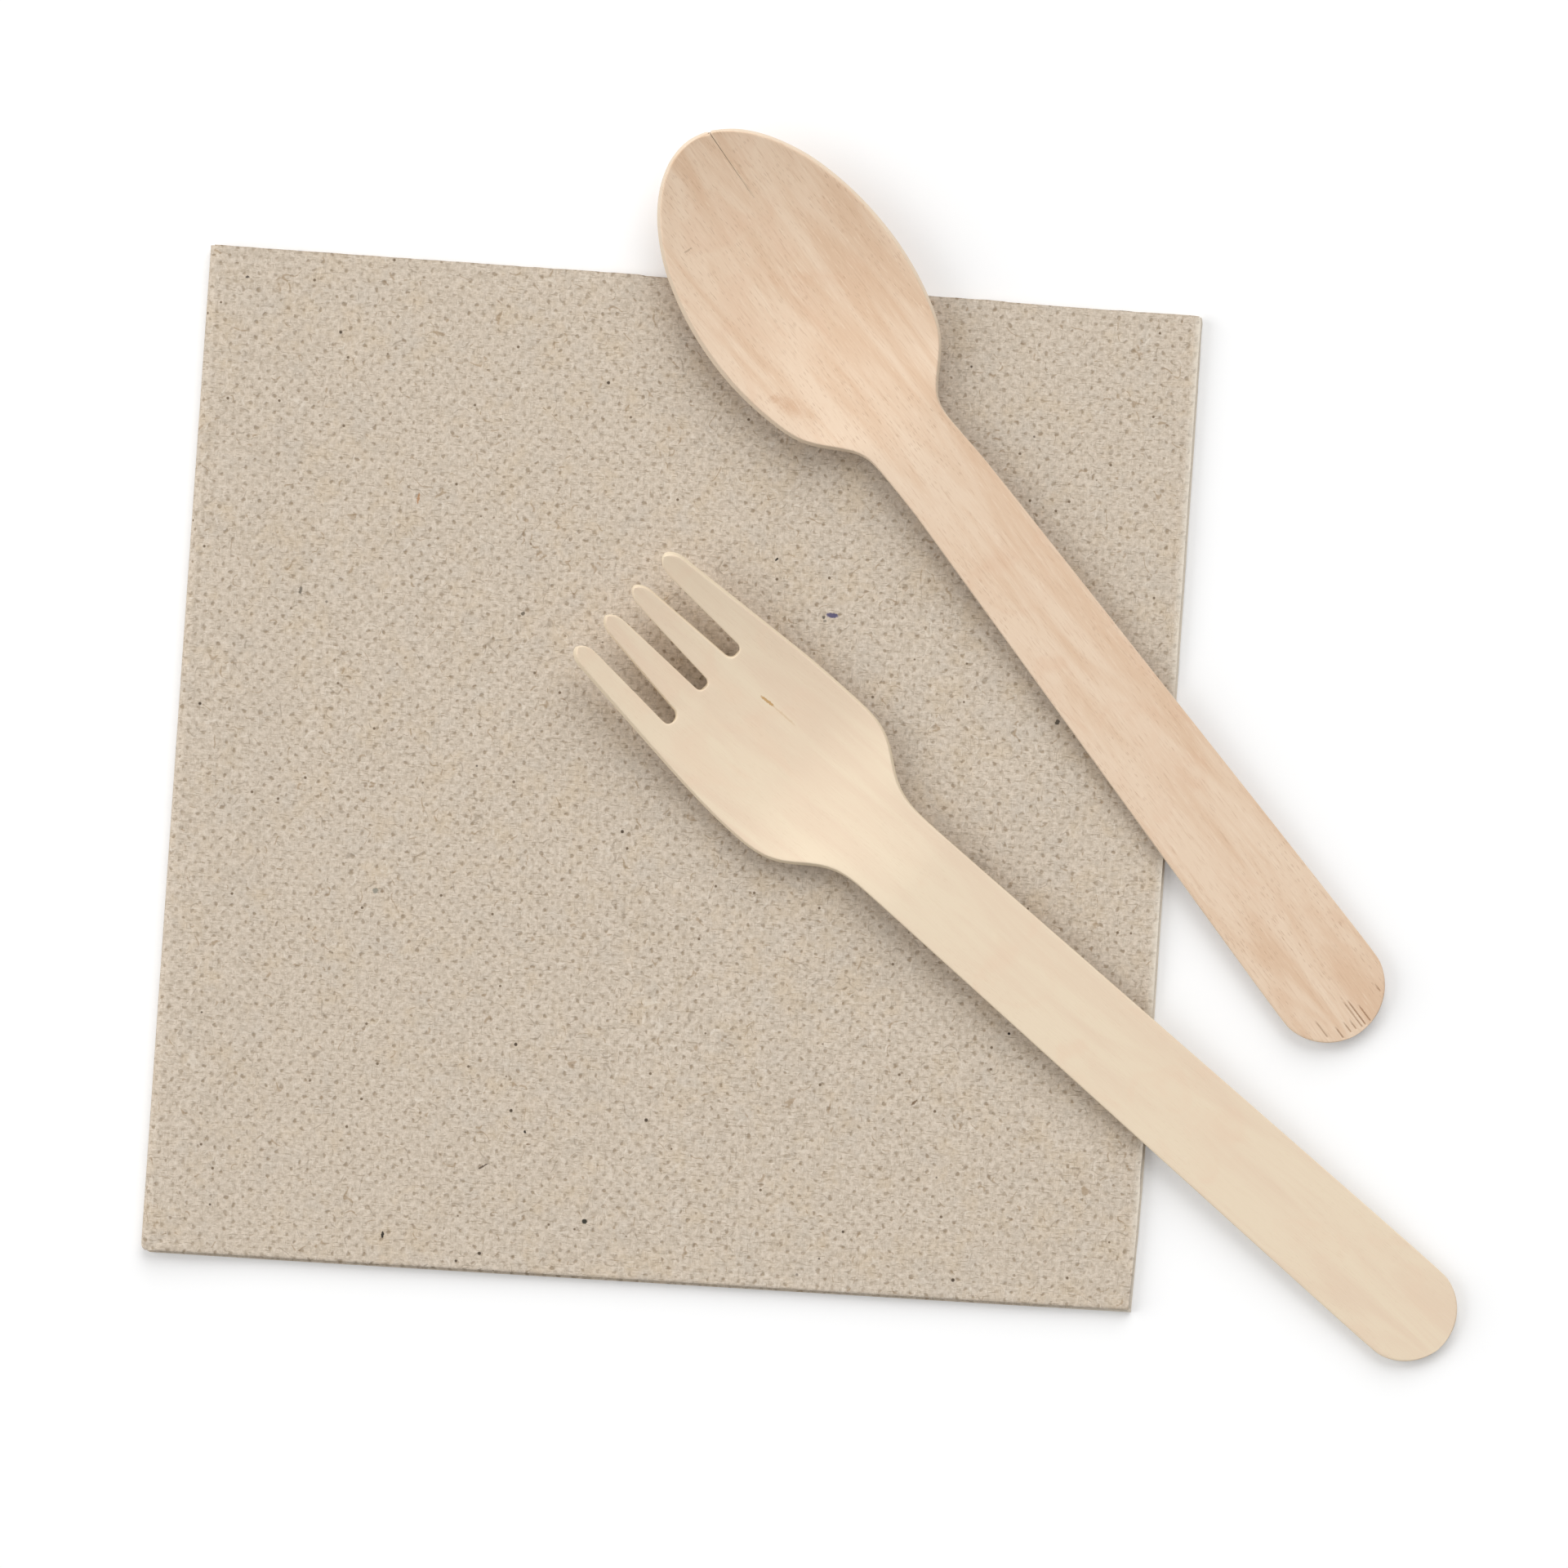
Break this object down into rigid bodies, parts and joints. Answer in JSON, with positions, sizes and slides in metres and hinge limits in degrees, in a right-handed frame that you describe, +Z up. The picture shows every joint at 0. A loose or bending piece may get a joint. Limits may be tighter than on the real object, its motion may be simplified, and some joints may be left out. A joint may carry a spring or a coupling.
{
  "type": "wooden cutlery pack",
  "caption": "Disposable birch spoon and fork lying askew on a square recycled-paper napkin that is folded in four.",
  "frame": {"origin": "middle of the folded napkin's underside, on the table", "axes": "+X across the napkin from its second fold to its cut edges, +Y from its first fold to its cut edges, +Z up"},
  "size_m": [0.1948, 0.1743, 0.0105],
  "materials": {
    "recycled_paper": "matt, unbleached recycled tissue, dotted embossing, fibres and specks",
    "pink_birch": "plain sanded rotary-cut birch veneer, pinkish tan, open grain along the handle",
    "pale_birch": "plain sanded rotary-cut birch veneer, pale cream, close faint grain"
  },
  "bodies": {
    "root": {"napkin": "recycled_paper", "spoon": "pink_birch", "fork": "pale_birch"}
  },
  "joints": []
}
